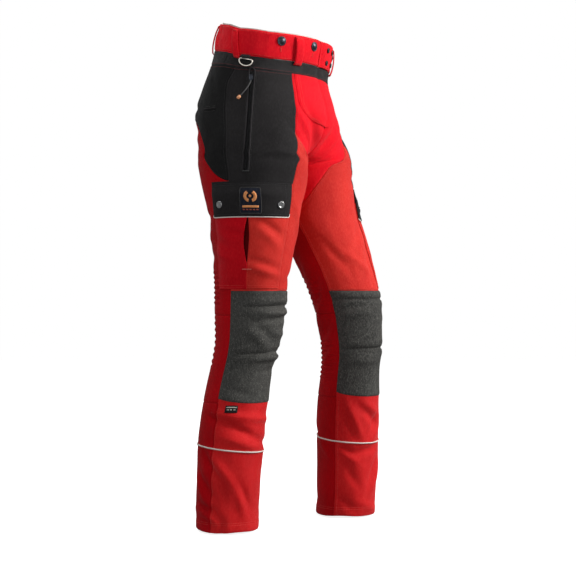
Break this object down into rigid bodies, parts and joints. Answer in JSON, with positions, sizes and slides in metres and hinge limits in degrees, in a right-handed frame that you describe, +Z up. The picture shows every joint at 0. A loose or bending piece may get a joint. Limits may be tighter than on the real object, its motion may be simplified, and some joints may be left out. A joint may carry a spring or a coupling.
{
  "type": "chainsaw protective trousers",
  "caption": "Chainsaw protective trousers with padded legs, knee patches, cargo pockets, side zips and a looped waistband, in a walking stance.",
  "frame": {"origin": "middle of the waist opening, level with the band's top edge at the hips", "axes": "+Z up, the wearer's front towards -Y, the wearer's left towards +X"},
  "size_m": [0.4285, 0.3606, 1.0723],
  "materials": {
    "red_stretch": "matt stretch weave",
    "grip_felt": "brushed lining",
    "protective_felt": "layered knit",
    "black_softshell": "matt soft shell",
    "orange_red_weave": "dense satin weave",
    "dark_red_stretch": "matt stretch weave",
    "knee_armour": "coarse speckled weave",
    "reflective_piping": "retroreflective cord",
    "gunmetal": "dark domed metal",
    "ring_steel": "satin",
    "black_stud": "satin lacquer",
    "zip_tape": "matt tape",
    "puller_cord": "matt cord and bead",
    "woven_emblem": "fine woven badge"
  },
  "bodies": {
    "trousers": {"belt_loop_left_back": "red_stretch", "belt_loop_left_front": "red_stretch", "belt_loop_left_side": "red_stretch", "belt_loop_right_back": "red_stretch", "belt_loop_right_front": "red_stretch", "belt_loop_right_side": "red_stretch", "brace_button_left_inner": "gunmetal", "brace_button_left_outer": "gunmetal", "brace_button_right_inner": "gunmetal", "brace_button_right_outer": "gunmetal", "cargo_pocket_left": "red_stretch", "cargo_pocket_right": "red_stretch", "d_ring_tab": "black_softshell", "fly_placket": "red_stretch", "front_hip_left": "red_stretch", "front_hip_right": "red_stretch", "knee_back_left": "dark_red_stretch", "knee_back_right": "dark_red_stretch", "knee_patch_left": "knee_armour", "knee_patch_right": "knee_armour", "protective_pad_left": "protective_felt", "protective_pad_right": "protective_felt", "seat_left": "black_softshell", "seat_right": "black_softshell", "side_panel_left": "black_softshell", "side_panel_right": "black_softshell", "side_zip_left": "zip_tape", "side_zip_right": "zip_tape", "thigh_back_left": "dark_red_stretch", "thigh_back_right": "dark_red_stretch", "thigh_front_left": "orange_red_weave", "thigh_front_right": "orange_red_weave", "waist_grip": "grip_felt", "waistband": "red_stretch", "yoke": "black_softshell"},
    "right_shin": {"shin_front_right": "orange_red_weave", "calf_back_right": "dark_red_stretch", "piping_right": "reflective_piping", "knee_label": "woven_emblem"},
    "left_shin": {"shin_front_left": "orange_red_weave", "calf_back_left": "dark_red_stretch", "piping_left": "reflective_piping"},
    "right_flap": {"cargo_flap_right": "black_softshell", "flap_stud_right_front": "gunmetal", "flap_stud_right_back": "gunmetal", "emblem_patch": "woven_emblem"},
    "left_flap": {"cargo_flap_left": "black_softshell", "flap_stud_left_front": "gunmetal", "flap_stud_left_back": "gunmetal"},
    "right_slider": {"zip_slider_right": "gunmetal"},
    "left_slider": {"zip_slider_left": "gunmetal"},
    "right_puller": {"zip_puller_right": "puller_cord"},
    "left_puller": {"zip_puller_left": "puller_cord"},
    "ring": {"d_ring": "ring_steel"},
    "closing_tab": {"waist_tab": "red_stretch", "tab_stud_1": "black_stud", "tab_stud_2": "black_stud", "tab_stud_3": "black_stud", "tab_stud_4": "black_stud"}
  },
  "joints": [
    {"name": "right_knee", "type": "hinge", "parent": "trousers", "child": "right_shin", "pos_m": [-0.122, 0.039, -0.65], "axis": [1, 0, 0], "range_deg": [0, 90], "deforming": ["knee_back_right"]},
    {"name": "left_knee", "type": "hinge", "parent": "trousers", "child": "left_shin", "pos_m": [0.122, -0.095, -0.65], "axis": [1, 0, 0], "range_deg": [0, 90], "deforming": ["knee_back_left"]},
    {"name": "right_flap_hinge", "type": "hinge", "parent": "trousers", "child": "right_flap", "pos_m": [-0.19424, -0.0315, -0.31603], "axis": [-0.3062, 0.952, 0], "range_deg": [0, 120]},
    {"name": "left_flap_hinge", "type": "hinge", "parent": "trousers", "child": "left_flap", "pos_m": [0.19423, -0.05844, -0.31586], "axis": [-0.3172, -0.9484, 0], "range_deg": [0, 120]},
    {"name": "right_zip", "type": "slide", "parent": "trousers", "child": "right_slider", "axis": [-0.1704, -0.0298, -0.9849], "range_m": [0, 0.176]},
    {"name": "right_puller_hinge", "type": "hinge", "parent": "right_slider", "child": "right_puller", "pos_m": [-0.17077, -0.02082, -0.108], "axis": [-0.4183, 0.9059, 0.0662], "range_deg": [0, 150]},
    {"name": "left_zip", "type": "slide", "parent": "trousers", "child": "left_slider", "axis": [0.1691, -0.129, -0.9771], "range_m": [0, 0.176]},
    {"name": "left_puller_hinge", "type": "hinge", "parent": "left_slider", "child": "left_puller", "pos_m": [0.1707, -0.02208, -0.10764], "axis": [-0.4364, -0.8994, 0.0242], "range_deg": [0, 150]},
    {"name": "ring_hinge", "type": "hinge", "parent": "trousers", "child": "ring", "pos_m": [-0.16657, -0.0082, -0.06248], "axis": [-0.255, 0.9449, 0.2052], "range_deg": [0, 120]},
    {"name": "tab_hinge", "type": "hinge", "parent": "trousers", "child": "closing_tab", "pos_m": [-0.00863, -0.10628, -0.0356], "axis": [-0.0045, 0.1713, -0.9852], "range_deg": [0, 100]}
  ]
}
